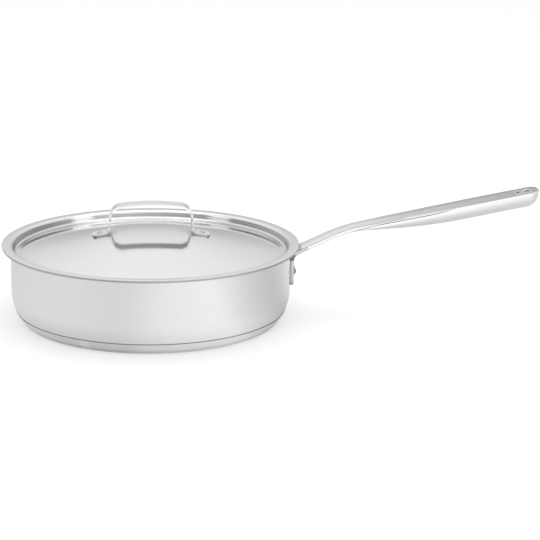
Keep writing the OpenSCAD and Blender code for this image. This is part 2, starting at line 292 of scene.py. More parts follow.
def new_object(name, bm):
    mesh = bpy.data.meshes.new(name)
    bmesh.ops.recalc_face_normals(bm, faces=bm.faces)
    bm.to_mesh(mesh)
    bm.free()
    obj = bpy.data.objects.new(name, mesh)
    bpy.context.scene.collection.objects.link(obj)
    return obj


def smooth(obj, angle=35):
    obj.data.shade_smooth()
    obj.data.set_sharp_from_angle(angle=math.radians(angle))


def lathe(name, outline, turns=TURNS, place=None, closed=False):
    """Solid of revolution of an outline of (radius, height) points, about Z."""
    bm = bmesh.new()
    rings = []
    for r, z in outline:
        if r < NEAR:
            rings.append([bm.verts.new((0, 0, z * MM))])
        else:
            rings.append([bm.verts.new((r * MM * cos(360 * k / turns),
                                        r * MM * sin(360 * k / turns), z * MM))
                          for k in range(turns)])
    pairs = list(zip(rings, rings[1:]))
    if closed:
        pairs.append((rings[-1], rings[0]))
    for a, b in pairs:
        for k in range(turns):
            j = (k + 1) % turns
            quad = [a[k % len(a)], a[j % len(a)], b[j % len(b)], b[k % len(b)]]
            corners = [v for i, v in enumerate(quad) if v not in quad[:i]]
            if len(corners) > 2:
                bm.faces.new(corners)
    if place is not None:
        bm.transform(place)
    obj = new_object(name, bm)
    smooth(obj)
    return obj


def bent_strip(rows, section):
    """Mesh of a bent strip; section gives (distance from the middle, depth) points of the
    right half of a station's cross-section, from the upper face down."""
    bm = bmesh.new()
    rings = []
    for row in rows:
        side = section(row)
        ring = []
        for y, depth in side + [(-y, depth) for y, depth in reversed(side)]:
            at = under(row, depth)
            ring.append(bm.verts.new((at.x * MM, y * MM, at.y * MM)))
        rings.append(ring)
    for a, b in zip(rings, rings[1:]):
        for k in range(len(a)):
            j = (k + 1) % len(a)
            bm.faces.new((a[k], b[k], b[j], a[j]))
    bm.faces.new(rings[0])
    bm.faces.new(rings[-1])
    return bm


def weld(bm, reach):
    bmesh.ops.remove_doubles(bm, verts=bm.verts, dist=reach * MM)


def bevel(obj, width, angle=40):
    mod = obj.modifiers.new("edges", "BEVEL")
    mod.width = width * MM
    mod.segments = EDGE_CUTS
    mod.limit_method = "ANGLE"
    mod.angle_limit = math.radians(angle)
    mod.harden_normals = True
    mod.use_clamp_overlap = True


def apply_modifiers(obj):
    deps = bpy.context.evaluated_depsgraph_get()
    mesh = bpy.data.meshes.new_from_object(obj.evaluated_get(deps))
    obj.modifiers.clear()
    obj.data = mesh


def drill(obj, holes, cutter_l=60):
    """Cuts round holes, each (radius, matrix), through obj."""
    for radius, place in holes:
        bm = bmesh.new()
        bmesh.ops.create_cone(bm, cap_ends=True, segments=SMALL_TURNS, radius1=radius * MM,
                              radius2=radius * MM, depth=cutter_l * MM)
        bm.transform(place)
        cutter = new_object("cutter", bm)
        mod = obj.modifiers.new("hole", "BOOLEAN")
        mod.operation = "DIFFERENCE"
        mod.solver = "EXACT"
        mod.object = cutter
        apply_modifiers(obj)
        bpy.data.objects.remove(cutter)


def finish_piece(obj, body, slot, materials, *nodes):
    obj.data.materials.clear()
    for material in materials:
        obj.data.materials.append(material)
    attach(obj, body)
    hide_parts(*nodes)


def cut_edges(obj, edge_r):
    """Gives the faces of the free edge at radius edge_r the second material, the darker cut edge
    with painted shade.
    """
    for face in obj.data.polygons:
        reach = math.hypot(face.center.x, face.center.y)
        face.material_index = 1 if reach > (edge_r - SHEET_EDGE) * MM else 0


def make_pan(material, edge):
    belly_in = BELLY_R - WALL_T
    bend_in = FLOOR_BEND_R - WALL_T
    flare_in = FLARE_R + WALL_T
    rise = math.degrees(math.acos((BELLY_Z - FLOOR_Z - bend_in) / (belly_in - bend_in)))
    flat = WALL_R - WALL_T - belly_in + (belly_in - bend_in) * sin(rise)
    rows = stations([(flat, rise, bend_in), (0, 90 - rise, belly_in),
                     (RIM_Z - flare_in - BELLY_Z, -90, flare_in), (RIM_OUT - FLARE_R, 0, 0)],
                    (0, FLOOR_Z))
    obj = lathe("pan_skin", sheet_outline(rows, WALL_T))
    finish_piece(obj, "pan", "steel_satin", [material, edge], "pan_body")
    cut_edges(obj, RIM_R)


def make_base(material, seam):
    slope = math.degrees(math.atan(CAP_H / (CAP_TOP_R - CAP_FOOT_R)))
    knee = CAP_BEND_R * tan(slope / 2)
    foot = CAP_FOOT_R + CAP_T * cos(slope) / sin(slope) - CAP_T / sin(slope)
    side = (CAP_H + CAP_T * cos(slope) - CAP_T) / sin(slope) - knee
    rows = stations([(foot - knee, slope, CAP_BEND_R), (side - CAP_SHADE_LINE, 0, 0),
                     (CAP_SHADE_LINE, 0, 0)], (0, CAP_T))
    obj = lathe("base_skin", sheet_outline(rows, CAP_T))
    finish_piece(obj, "pan", "steel_satin", [material, seam], "base_cap")
    # The top band of the cap's side gets painted shade, a dark line where the cap meets the wall
    for face in obj.data.polygons:
        face.material_index = 1 if face.center.z > (CAP_H - CAP_SHADE_LINE) * MM else 0


def crest():
    """Side view of the handle's upper face: the tab's X, the crest's hub, the grip's start."""
    tab_x = math.sqrt(WALL_R ** 2 - (TAB_W / 2) ** 2)
    turn = 90 - ARM_SLOPE
    start = Vector((tab_x + ROOT_BEND_R * (1 - cos(turn)), TAB_TOP_Z + ROOT_BEND_R * sin(turn)))
    start += ahead(ARM_SLOPE) * ARM_L
    hub = start + down(ARM_SLOPE) * CREST_R
    return tab_x, hub, hub - down(GRIP_SLOPE) * CREST_R


TAB_X, CREST_HUB, GRIP_START = crest()


def bow(x):
    """Half width of the grip between its long bowed sides."""
    return GRIP_W / 2 - GRIP_SIDE_R + math.sqrt(GRIP_SIDE_R ** 2 - (x - SWELL_X) ** 2)


def plan_half(x):
    """Half width of the handle seen from above."""
    if x <= TAB_X + STRIP_T:
        return TAB_W / 2
    if x < SHELL_X:
        share = (x - TAB_X - STRIP_T) / (SHELL_X - TAB_X - STRIP_T)
        return TAB_W / 2 + (bow(SHELL_X) - TAB_W / 2) * share
    corner_x = TIP_X - TIP_CORNER_R
    if x < corner_x:
        return bow(x)
    return rounded(bow(corner_x), TIP_CORNER_R, x - corner_x)


def grip_top(x):
    return GRIP_START.y + (x - GRIP_START.x) * tan(GRIP_SLOPE)


def strip_over(x):
    """Height of the strip's upper face over the crest and grip."""
    if x < GRIP_START.x:
        return CREST_HUB.y + math.sqrt(CREST_R ** 2 - (x - CREST_HUB.x) ** 2)
    return grip_top(x)


def strip_under(x):
    """Height of the strip's under face over the crest and grip."""
    if x < CREST_HUB.x - (CREST_R - STRIP_T) * sin(GRIP_SLOPE):
        return CREST_HUB.y + math.sqrt((CREST_R - STRIP_T) ** 2 - (x - CREST_HUB.x) ** 2)
    return grip_top(x) - STRIP_T / cos(GRIP_SLOPE)


def on_grip(x):
    """Matrix with Z square to the grip's upper face at x."""
    return (Matrix.Translation(Vector((x, 0, grip_top(x))) * MM)
            @ Matrix.Rotation(math.radians(-GRIP_SLOPE), 4, "Y"))


def strip_rows():
    rows = stations([(TAB_TOP_Z - TAB_Z, ARM_SLOPE - 90, ROOT_BEND_R),
                     (ARM_L, GRIP_SLOPE - ARM_SLOPE, CREST_R)], (TAB_X, TAB_Z), 90)
    start, heading = rows[-1]
    straight = (TIP_X - TIP_CORNER_R - start.x) / cos(GRIP_SLOPE)
    corner = TIP_CORNER_R / cos(GRIP_SLOPE)
    runs = [straight * k / GRIP_CUTS for k in range(1, GRIP_CUTS + 1)]
    runs += [straight + corner * sin(a) for a in quarter(TIP_CUTS)[1:]]
    rows += [(start + ahead(heading) * run, heading) for run in runs]
    tab = [(Vector((TAB_X, TAB_Z + TAB_CORNER_R * (1 - cos(a)))), 90)
           for a in range(0, 90, TAB_STEP)]
    return tab + [row for row in rows if row[0].y > TAB_Z + TAB_CORNER_R - NEAR]


def cover(x):
    """Share of the strip's edge that the shell's wall hides at x."""
    for (x0, c0), (x1, c1) in zip(SEAM, SEAM[1:]):
        if x < x1:
            return c0 + (c1 - c0) * max(0.0, x - x0) / (x1 - x0)
    return SEAM_END_COVER


def strip_section(row):
    """Rounded upper edge, what shows of the side, and the step in behind the shell's wall."""
    x, z = row[0]
    half = plan_half(x)
    if z < TAB_Z + TAB_CORNER_R:
        half = rounded(TAB_W / 2, TAB_CORNER_R, TAB_Z + TAB_CORNER_R - z)
    seam = STRIP_T * (1 - cover(x))
    edge = min(STRIP_EDGE, STRIP_EDGE_SHARE * seam)
    low_edge = max(LEAST_EDGE, STRIP_EDGE * (1 - cover(x) / SEAM_COVER))
    side = [(half - edge * (1 - sin(a)), edge * (1 - cos(a))) for a in quarter(EDGE_CUTS)]
    side += [(half - low_edge * (1 - cos(a)), seam - low_edge * (1 - sin(a)))
             for a in quarter(LOW_EDGE_CUTS)]
    inner = half - SHELL_T - PLAY
    deep = STRIP_T if x < TIP_X - SHELL_T - 2 * PLAY else seam
    return side + [(inner, seam), (inner, deep)]


def strip_material(face):
    """Which of the strip's materials a face shows, with painted shade on the upper edge's line,
    behind the shell's wall and on the root under the rim.
    """
    x, y, z = face.center / MM
    sideways = abs(face.normal.y)
    on_edge = EDGE_TURN < sideways < EDGE_TURN_MAX and face.normal.z > EDGE_TURN
    if on_edge and RIM_R < x < PAINTED_EDGE_LINE_X:
        return STRIP_PAINTED_SHADE
    if sideways <= SIDE_TURN:
        return STRIP_FACE
    behind_shell = (SEAM_X < x < TIP_X - SHELL_T and plan_half(x) - abs(y) > SHELL_T - 2 * PLAY
                    and z < strip_over(x) - STRIP_EDGE)
    if behind_shell or TAB_TOP_Z < z < ROOT_SHADE_Z:
        return STRIP_PAINTED_SHADE
    return STRIP_SHADED_TAB if z < ROOT_TOP_Z else STRIP_SIDE


def make_strip(*materials):
    """Takes the materials in the order of their names, from STRIP_FACE to STRIP_SHADED_TAB."""
    bm = bent_strip(strip_rows(), strip_section)
    weld(bm, STRIP_WELD)
    obj = new_object("strip_skin", bm)
    drill(obj, [(TUBE_R, on_grip(HANG_X)), (VENT_D / 2, on_grip(HANG_X - VENT_PITCH))])
    smooth(obj)
    finish_piece(obj, "pan", "steel_brushed", materials, "handle_strip")
    for face in obj.data.polygons:
        face.material_index = strip_material(face)


def shell_depth(x):
    along = min(1.0, max(0.0, (x - SHELL_X) / (SHELL_FULL_X - SHELL_X)))
    nose = math.sqrt(max(0.0, 1 - (max(0.0, x - TIP_X + SHELL_NOSE) / SHELL_NOSE) ** 2))
    return SHELL_D * nose * sin(90 * along)


def shell_section(x):
    """Points (Y, Z) round the shell at x: wall, squarish bowl, wall."""
    half, depth, base = plan_half(x), max(PLAY, shell_depth(x)), strip_under(x)
    groove = SEAM_GROOVE * min(1.0, (SEAM_END_COVER - cover(x)) / GROOVE_FADE_OUT,
                               cover(x) / GROOVE_FADE_IN)
    wall = base + max(0.0, (strip_over(x) - base) * cover(x) - groove)
    points = [(half, wall)]
    for k in range(BOWL_CUTS + 1):
        turn = 180 * k / BOWL_CUTS
        c, s = cos(turn), max(0.0, sin(turn))
        points.append((half * math.copysign(abs(c) ** (2 / SHELL_SQUARE), c),
                       base - depth * s ** (2 / SHELL_SQUARE)))
    return points + [(-half, wall)]


def shell_outside():
    """Outer skin of the shell, open at the top and closed at the nose."""
    straight = TIP_X - SHELL_NOSE - SHELL_X
    places = [SHELL_X + straight * k / SHELL_CUTS for k in range(SHELL_CUTS)]
    places += [TIP_X - SHELL_NOSE * (1 - sin(a)) for a in quarter(NOSE_CUTS)]
    bm = bmesh.new()
    rings = [[bm.verts.new((x * MM, y * MM, z * MM)) for y, z in shell_section(x)]
             for x in places]
    for a, b in zip(rings, rings[1:]):
        for k in range(len(a) - 1):
            bm.faces.new((a[k], b[k], b[k + 1], a[k + 1]))
    bm.faces.new(rings[-1])
    weld(bm, SHELL_WELD)
    return bm


def make_shell(material):
    obj = new_object("shell_skin", shell_outside())
    lowest = min(obj.data.polygons,
                 key=lambda face: face.center.z - face.center.x * tan(GRIP_SLOPE))
    if lowest.normal.z > 0:
        obj.data.flip_normals()
    mod = obj.modifiers.new("sheet", "SOLIDIFY")
    mod.thickness = SHELL_T * MM
    mod.offset = -1
    apply_modifiers(obj)
    drill(obj, [(TUBE_R, on_grip(HANG_X))])
    smooth(obj, angle=40)
    finish_piece(obj, "pan", "steel_polished", [material], "handle_shell")


def make_tube(material, bore):
    length = STRIP_T + shell_depth(HANG_X + TUBE_R) * cos(GRIP_SLOPE)
    inner = HANG_D / 2
    lip = [(inner + TUBE_LIP * (1 - sin(a)), TUBE_LIP * (cos(a) - 1)) for a in quarter(EDGE_CUTS)]
    outline = lip + [(r, -length - z) for r, z in reversed(lip)]
    outline += [(TUBE_R, -length), (TUBE_R, 0)]
    obj = lathe("tube_skin", outline, SMALL_TURNS, on_grip(HANG_X), closed=True)
    finish_piece(obj, "pan", "steel_polished", [material, bore], "hang_tube")
    back = on_grip(HANG_X).inverted()
    for face in obj.data.polygons:
        at = back @ face.center / MM
        inside = math.hypot(at.x, at.y) < inner + PLAY
        # The inside of the hole gets painted shade
        face.material_index = 1 if inside and at.z < -BORE_START else 0


def head_outline(size):
    """Domed head of (diameter, height) on the plane z = 0, from crown to rim."""
    d, h = size
    ball = ((d / 2) ** 2 + h ** 2) / (2 * h)
    half = math.degrees(math.asin(d / 2 / ball))
    turns = [half * k / HEAD_CUTS for k in range(HEAD_CUTS + 1)]
    return [(ball * sin(a), h - ball + ball * cos(a)) for a in turns]


def rivet_outline(head, tail, shank_r, length):
    """Rivet with its head's seat on z = 0 and its tail's seat on z = -length."""
    low = [(r, -length - z) for r, z in reversed(head_outline(tail))]
    return head_outline(head) + [(shank_r, 0), (shank_r, -length)] + low


def rivet_pair(name, outline, places):
    """One object of like rivets, one at each place."""
    bm = bmesh.new()
    for place in places:
        rivet = lathe("rivet", outline, RIVET_TURNS, place)
        bm.from_mesh(rivet.data)
        bpy.data.objects.remove(rivet)
    obj = new_object(name, bm)
    smooth(obj)
    return obj


def make_handle_rivets(material):
    seat = TAB_X + STRIP_T
    places = [Matrix.Translation(Vector((seat, side * RIVET_PITCH / 2, RIVET_Z)) * MM)
              @ Matrix.Rotation(math.radians(90), 4, "Y") for side in (-1, 1)]
    outline = rivet_outline(RIVET_HEAD, RIVET_TAIL, RIVET_D / 2, STRIP_T + WALL_T)
    obj = rivet_pair("rivets_skin", outline, places)
    finish_piece(obj, "pan", "steel_polished", [material], "handle_rivets")


def make_lid(material, edge):
    skirt = RIM_Z + LID_T - LIP_R - GUTTER_R - BRIM_Z
    rows = stations([(0, -CONE_SLOPE, DOME_R), (CONE_L, CONE_SLOPE, BRIM_BEND_R),
                     (BRIM_W, 90, GUTTER_R), (skirt, -90, LIP_R),
                     (FLANGE_R - SKIRT_IN - LIP_R, 0, 0)], (0, CROWN_Z))
    obj = lathe("lid_skin", sheet_outline(rows, LID_T))
    finish_piece(obj, "lid", "steel_satin", [material, edge], "lid_shell")
    cut_edges(obj, FLANGE_R)


def bail_rows():
    """Side view of the bail: foot, side, corner, arched top, and the same back down."""
    side = 90 - BAIL_LEAN
    arch = math.degrees(math.asin((BAIL_LOOP_W / 2 - BAIL_CORNER_R * sin(side))
                                  / (BAIL_ARCH_R - BAIL_CORNER_R)))
    corner_z = (CROWN_Z + BAIL_H - BAIL_ARCH_R * (1 - cos(arch))
                - BAIL_CORNER_R * (cos(arch) - cos(side)))
    face_z = CROWN_Z - DOME_R + (DOME_R + BAIL_T) * cos(FOOT_SLOPE)
    out = BAIL_FOOT_R * (sin(side) - sin(FOOT_SLOPE))
    drop = BAIL_FOOT_R * (cos(FOOT_SLOPE) - cos(side))
    fall = tan(FOOT_SLOPE)
    side_l = ((corner_z - drop - face_z - (BAIL_SPAN / 2 - BAIL_LOOP_W / 2 - out) * fall)
              / (sin(side) - cos(side) * fall))
    heel_x = BAIL_LOOP_W / 2 + side_l * cos(side) + out
    toe_l = (TOE_X - heel_x) / cos(FOOT_SLOPE)
    toe = Vector((-TOE_X, face_z - BAIL_TOE * fall))
    rows = stations([(toe_l, side - FOOT_SLOPE, BAIL_FOOT_R), (side_l, arch - side, BAIL_CORNER_R),
                     (0, -2 * arch, BAIL_ARCH_R), (0, arch - side, BAIL_CORNER_R),
                     (side_l, side - FOOT_SLOPE, BAIL_FOOT_R), (toe_l, 0, 0)], toe, FOOT_SLOPE)
    toes = [(toe + ahead(FOOT_SLOPE) * BAIL_TOE_R * (1 - cos(a)), FOOT_SLOPE)
            for a in range(0, 90, TOE_STEP)]
    middle = [row for row in rows if abs(row[0].x) < TOE_X - BAIL_TOE_R - NEAR]
    ends = [(Vector((-pos.x, pos.y)), -heading) for pos, heading in reversed(toes)]
    return toes + middle + ends


def bail_section(row):
    """Right corners of the bail's plain oblong section, narrower at the round toes."""
    half = rounded(BAIL_W / 2, BAIL_TOE_R, abs(row[0].x) - TOE_X + BAIL_TOE_R)
    return [(half, 0), (half, BAIL_T)]


def make_bail(material, under_shade_material):
    obj = new_object("bail_skin", bent_strip(bail_rows(), bail_section))
    smooth(obj)
    finish_piece(obj, "lid", "steel_polished", [material, under_shade_material], "lid_handle")
    for face in obj.data.polygons:
        x, z = face.center.x, face.center.z
        inside = face.normal.z < -DOWNWARD or face.normal.x * x < -INWARD * abs(x)
        face.material_index = 1 if inside and z > BAIL_UNDER_Z * MM else 0
    bevel(obj, BAIL_EDGE)


def make_lid_rivets(material):
    centre = Matrix.Translation((0, 0, (CROWN_Z - DOME_R) * MM))
    seat = Matrix.Translation((0, 0, (DOME_R + BAIL_T) * MM))
    places = [centre @ Matrix.Rotation(math.radians(side * FOOT_SLOPE), 4, "Y") @ seat
              for side in (-1, 1)]
    outline = rivet_outline(BAIL_HEAD, BAIL_HEAD, BAIL_RIVET_D / 2, BAIL_T + LID_T)
    obj = rivet_pair("lid_rivets_skin", outline, places)
    finish_piece(obj, "lid", "steel_polished", [material], "lid_rivets")


class Nodes:
    """Short hand for building the node tree of a material or world."""

    def __init__(self, owner):
        owner.use_nodes = True
        self.owner = owner
        self.tree = owner.node_tree
        self.shader = self.tree.nodes.get("Principled BSDF")

    def add(self, kind, **values):
        node = self.tree.nodes.new(kind)
        for key, value in values.items():
            if key in node.inputs:
                node.inputs[key].default_value = value
            else:
                setattr(node, key, value)
        return node

    def feed(self, value, into):
        """Links a socket to an input, or gives the input a plain value."""
        if isinstance(value, bpy.types.NodeSocket):
            self.tree.links.new(value, into)
        else:
            into.default_value = value

    def math(self, operation, *values):
        node = self.add("ShaderNodeMath", operation=operation)
        for value, into in zip(values, node.inputs):
            self.feed(value, into)
        return node.outputs[0]

    def ramp(self, source, *limits):
        """Maps a value from one range to another; limits are both ranges' ends."""
        node = self.add("ShaderNodeMapRange")
        for value, into in zip((source, *limits), node.inputs):
            self.feed(value, into)
        return node.outputs["Result"]

    def split(self, vector):
        node = self.add("ShaderNodeSeparateXYZ")
        self.feed(vector, node.inputs[0])
        return node.outputs

    def noise(self, place, **values):
        node = self.add("ShaderNodeTexNoise", **values)
        self.feed(place, node.inputs["Vector"])
        return node.outputs["Fac"]

    def grey(self, level):
        node = self.add("ShaderNodeCombineColor")
        for into in node.inputs[:3]:
            self.feed(level, into)
        return node.outputs[0]

    def blend(self, mode, share, first, second):
        """Mixes two colours, which this node has at its inputs 6 and 7 and its output 2."""
        node = self.add("ShaderNodeMix", data_type="RGBA", blend_type=mode)
        for value, into in ((share, 0), (first, 6), (second, 7)):
            self.feed(value, node.inputs[into])
        return node.outputs[2]

    def mix_shaders(self, share, first, second):
        node = self.add("ShaderNodeMixShader")
        for value, into in zip((share, first, second), node.inputs):
            self.feed(value, into)
        return node.outputs[0]


# Polishing lines to the metre along X, Y and Z; on a spun piece they are counted outward,
# upward and to the radian of turn
LINES = {"along": (45.0, 3200.0, 900.0), "plain": (500.0, 500.0, 500.0),
         "round": (2600.0, 2600.0, 5.0)}
# Range of a noise's values that lines and clouds use
NOISE_RANGE = (0.3, 0.7)
# Two ranges, as ramp takes them: from a line's noise to its tone, and from how sharply an
# edge stands out to how worn it is
LINE_TONE = (0.25, 0.75, 0.97, 1.03)
EDGE_WEAR = (0.5, 0.62, 0.0, 1.0)
# Share of open sky at which the painted shade in creases is darkest, and at which it ends
CREASE_SHADE_RANGE = (0.2, 0.9)
CREASE_SHADE_SAMPLES = 8
# Blue of steel over its grey, gain of worn edges, least roughness, and depth of the relief
# with the share of it that fine grain has beside the lines
BLUE_CAST = 0.01
WORN_GAIN = 1.12
LEAST_ROUGH = 0.02
RELIEF = 0.2
GRAIN_SHARE = 0.2
# Turn of the anisotropy that lays its streaks round a spun piece
QUARTER_TURN = 0.25


def brush_coordinates(n, place, way):
    """Coordinates that change fast across the polishing lines and slowly along them."""
    parts = n.split(place)
    if way == "round":
        x, y, z = parts
        radius = n.math("SQRT", n.math("ADD", n.math("MULTIPLY", x, x), n.math("MULTIPLY", y, y)))
        parts = (radius, z, n.math("ARCTAN2", y, x))
    join = n.add("ShaderNodeCombineXYZ")
    for part, count, into in zip(parts, LINES[way], join.inputs):
        n.feed(n.math("MULTIPLY", part, count), into)
    return join.outputs[0]


def steel_roughness(n, lines, clouds, rough, grain, cloud):
    from_lines = n.ramp(lines, *NOISE_RANGE, -grain * rough, grain * rough)
    from_clouds = n.ramp(clouds, *NOISE_RANGE, -cloud, cloud)
    total = n.math("ADD", n.math("ADD", from_lines, from_clouds), rough)
    return n.math("MAXIMUM", total, LEAST_ROUGH)


def steel_colour(n, place, lines, grey, crease_shade, reach, painted_light_fade):
    """Grey with faint lines, brighter where edges are worn, with painted shade in creases and
    painted light along X.
    """
    colour = (grey, grey, grey + BLUE_CAST)
    tone = n.ramp(lines, *LINE_TONE)
    # Painted light: a tone ramp along X that brightens the arm and darkens the grip
    if painted_light_fade:
        tone = n.math("MULTIPLY", tone, n.ramp(n.split(place)[0], *painted_light_fade))
    lined = n.blend("MULTIPLY", 1.0, (*colour, 1.0), n.grey(tone))
    pointed = n.add("ShaderNodeNewGeometry").outputs["Pointiness"]
    worn = (*[min(1.0, part * WORN_GAIN) for part in colour], 1.0)
    edged = n.blend("MIX", n.ramp(pointed, *EDGE_WEAR), lined, worn)
    # Painted shade: the colour is darkened where the occlusion node finds geometry within reach
    near = n.add("ShaderNodeAmbientOcclusion", Distance=reach * MM, samples=CREASE_SHADE_SAMPLES)
    depth = n.ramp(near.outputs["AO"], *CREASE_SHADE_RANGE, crease_shade, 1.0)
    return n.blend("MULTIPLY", 1.0, edged, n.grey(depth))


def steel(name, grey, rough, way, grain=0.25, bump=0.015, anisotropy=0.0, cloud=0.03,
          crease_shade=0.5, reach=5.0, painted_light_fade=None):
    """Metal with polishing lines. Its roughness varies by grain along the lines and by cloud
    in patches, crease_shade is the gain of painted shade in creases up to reach wide, and
    painted_light_fade is two values of X in metres with the gain of painted light at each."""
    n = Nodes(bpy.data.materials.new(name))
    place = n.add("ShaderNodeTexCoord").outputs["Object"]
    lines = n.noise(brush_coordinates(n, place, way), Scale=1.0, Detail=3.0, Roughness=0.65)
    clouds = n.noise(place, Scale=22.0, Detail=4.0, Roughness=0.55)
    fine = n.noise(place, Scale=900.0, Detail=2.0)
    relief = n.add("ShaderNodeBump", Strength=bump, Distance=RELIEF * MM)
    height = n.math("ADD", lines, n.math("MULTIPLY", fine, GRAIN_SHARE))
    n.feed(height, relief.inputs["Height"])
    inputs = n.shader.inputs
    n.feed(steel_roughness(n, lines, clouds, rough, grain, cloud), inputs["Roughness"])
    n.feed(steel_colour(n, place, lines, grey, crease_shade, reach, painted_light_fade), inputs["Base Color"])
    n.feed(relief.outputs["Normal"], inputs["Normal"])
    n.feed(1.0, inputs["Metallic"])
    if anisotropy:
        tangent = n.add("ShaderNodeTangent", direction_type="RADIAL", axis="Z")
        n.feed(anisotropy, inputs["Anisotropic"])
        n.feed(0.0 if way == "along" else QUARTER_TURN, inputs["Anisotropic Rotation"])
        n.feed(tangent.outputs[0], inputs["Tangent"])
    return n.owner


def spun_steel():
    """The pan's wall and base."""
    return steel("spun_steel", 0.80, 0.26, "round", grain=0.05, bump=0.001, anisotropy=0.8,
                 cloud=0.01, crease_shade=0.7)


def lid_steel():
    return steel("lid_steel", 0.77, 0.1, "round", anisotropy=0.6, crease_shade=0.4, reach=14.0)


def brushed_steel():
    """The strip's faces, with painted light along X: brighter towards the arm and darker on the
    grip.
    """
    return steel("brushed_steel", 0.62, 0.3, "along", bump=0.05, anisotropy=0.8,
                 painted_light_fade=(0.17, 0.35, 1.28, 0.56))


def bail_steel():
    return steel("bail_steel", 0.93, 0.08, "plain", cloud=0.015, crease_shade=0.7)


def unpolished_shaded_steel():
    """The inside of the bail: rougher steel, darker with painted shade."""
    return steel("unpolished_shaded_steel", 0.45, 0.4, "plain", bump=0.05)


def polished_steel():
    """The grip's shell, the strip's sides and the tube."""
    return steel("polished_steel", 0.84, 0.06, "plain", cloud=0.015, crease_shade=0.85)


def painted_shade_steel():
    """Painted shade: a dark steel for the inside of the tube's hole and the dark lines at seams,
    grooves and under the rim.
    """
    return steel("painted_shade_steel", 0.22, 0.45, "plain", bump=0.1)


def aluminium():
    """The core in the base."""
    return steel("aluminium", 0.75, 0.35, "round", bump=0.1)


def shaded_rough_cut():
    """The sides of the tab on the wall: rougher steel, darker with painted shade under the rim."""
    return steel("shaded_rough_cut", 0.66, 0.35, "plain", bump=0.05, crease_shade=0.45)


# Rivets: dark grey standing in for dark reflections, with strong painted shade round the heads
def shaded_rivet_steel():
    return steel("shaded_rivet_steel", 0.36, 0.12, "plain", crease_shade=0.05)


def shaded_cut_edge():
    """The free edges of the rim and the lid: rougher steel, darker with painted shade of the gap
    between lid and rim.
    """
    return steel("shaded_cut_edge", 0.5, 0.4, "round", bump=0.05)


# Camera, fitted to the outlines of the rim, base and wall in the photograph, with its pitch
# and roll fitted in radians
AZIMUTH_OFF = 5.0
FOCAL_PX = 1707.66
FRAME_PX = 540.0
SENSOR_W = 36.0
DISTANCE = 1600.0
PITCH = math.degrees(0.26434)
ROLL = math.degrees(0.014531)
AIM_X = 111.162
AIM_Z = 45.525

# Studio: brightness of the sky at heights (sines), and lobes (azimuth to the right of the
# camera, elevation, sharpness, gain) that give the metal its soft upright bands
SKY = [(-1.0, 0.9), (-0.02, 0.8), (0.0, 0.5), (0.17, 0.66), (0.26, 0.8), (0.5, 1.0), (0.75, 1.15),
       (1.0, 1.15)]
SKY_BLUE = 1.005
SKY_LEAST = 0.03
LOBES = [(0, 25, 2.5, -0.15), (34, 14, 7, 0.25), (112, 10, 4, -0.38), (-75, 10, 3, -0.38)]
# Floor: its size and colour, how far it is lifted to white, and how bright that lift is in
# the metal at angles to the right of the camera, at most GLOW_TOP
FLOOR_HALF = 8000.0
FLOOR_DROP = 0.2
FLOOR_GREY = 0.95
FLOOR_ROUGH = 0.9
FLOOR_LIFT = 1.08
FLOOR_LIFT_SHARE = 0.45
GLOW_TOP = 2.0
FLOOR_GLOW = [(-180, 0.6), (-150, 0.34), (-120, 0.42), (-90, 0.62), (-60, 0.74), (-30, 0.68),
              (-12, 0.66), (0, 0.84), (15, 1.0), (30, 1.1), (42, 1.14), (54, 0.88), (68, 0.6),
              (83, 0.38), (100, 0.3), (120, 0.46), (150, 0.7), (180, 0.65)]


def make_camera():
    turn = Matrix.Rotation(math.radians(-AZIMUTH_OFF), 3, "Z")
    forward = turn @ Vector((0, cos(PITCH), -sin(PITCH)))
    right = turn @ Vector((1, 0, 0))
    up = turn @ Vector((0, sin(PITCH), cos(PITCH)))
    right, up = right * cos(ROLL) + up * sin(ROLL), up * cos(ROLL) - right * sin(ROLL)
    place = turn @ Vector((AIM_X, 0, AIM_Z)) - forward * DISTANCE
    data = bpy.data.cameras.new("camera")
    data.sensor_fit = "HORIZONTAL"
    data.sensor_width = SENSOR_W
    data.lens = SENSOR_W * FOCAL_PX / FRAME_PX
    data.clip_start = 0.01
    data.clip_end = 100.0
    camera = bpy.data.objects.new("camera", data)
    basis = Matrix((right, up, -forward)).transposed().to_4x4()
    camera.matrix_world = Matrix.Translation(place * MM) @ basis
    bpy.context.scene.collection.objects.link(camera)
    bpy.context.scene.camera = camera


def make_world():
    """White studio: darker near the horizon, brighter overhead, with soft lobes."""
    world = bpy.data.worlds.new("studio")
    bpy.context.scene.world = world
    n = Nodes(world)
    n.tree.nodes.clear()
    way = n.add("ShaderNodeTexCoord").outputs["Generated"]
    ramp = n.add("ShaderNodeValToRGB")
    n.feed(n.math("MULTIPLY_ADD", n.split(way)[2], 0.5, 0.5), ramp.inputs["Fac"])
    stops = ramp.color_ramp.elements
    for height, level in SKY[len(stops):]:
        stops.new(0.5 + height / 2)
    for stop, (height, level) in zip(stops, SKY):
        stop.position = 0.5 + height / 2
        stop.color = (level, level, level * SKY_BLUE, 1)
    total = ramp.outputs["Color"]
    for azimuth, elevation, sharpness, gain in LOBES:
        turned = azimuth - AZIMUTH_OFF
        aim = n.add("ShaderNodeVectorMath", operation="DOT_PRODUCT")
        n.feed(way, aim.inputs[0])
        n.feed((sin(turned) * cos(elevation), -cos(turned) * cos(elevation), sin(elevation)),
               aim.inputs[1])
        lobe = n.math("POWER", n.math("MAXIMUM", aim.outputs["Value"], 0.0), sharpness)
        total = n.math("MAXIMUM", n.math("ADD", total, n.math("MULTIPLY", lobe, gain)), SKY_LEAST)
    to_camera = n.add("ShaderNodeLightPath").outputs["Is Camera Ray"]
    sky = n.add("ShaderNodeBackground")
    n.feed(n.math("MAXIMUM", total, to_camera), sky.inputs["Color"])
    n.feed(sky.outputs[0], n.add("ShaderNodeOutputWorld").inputs[0])


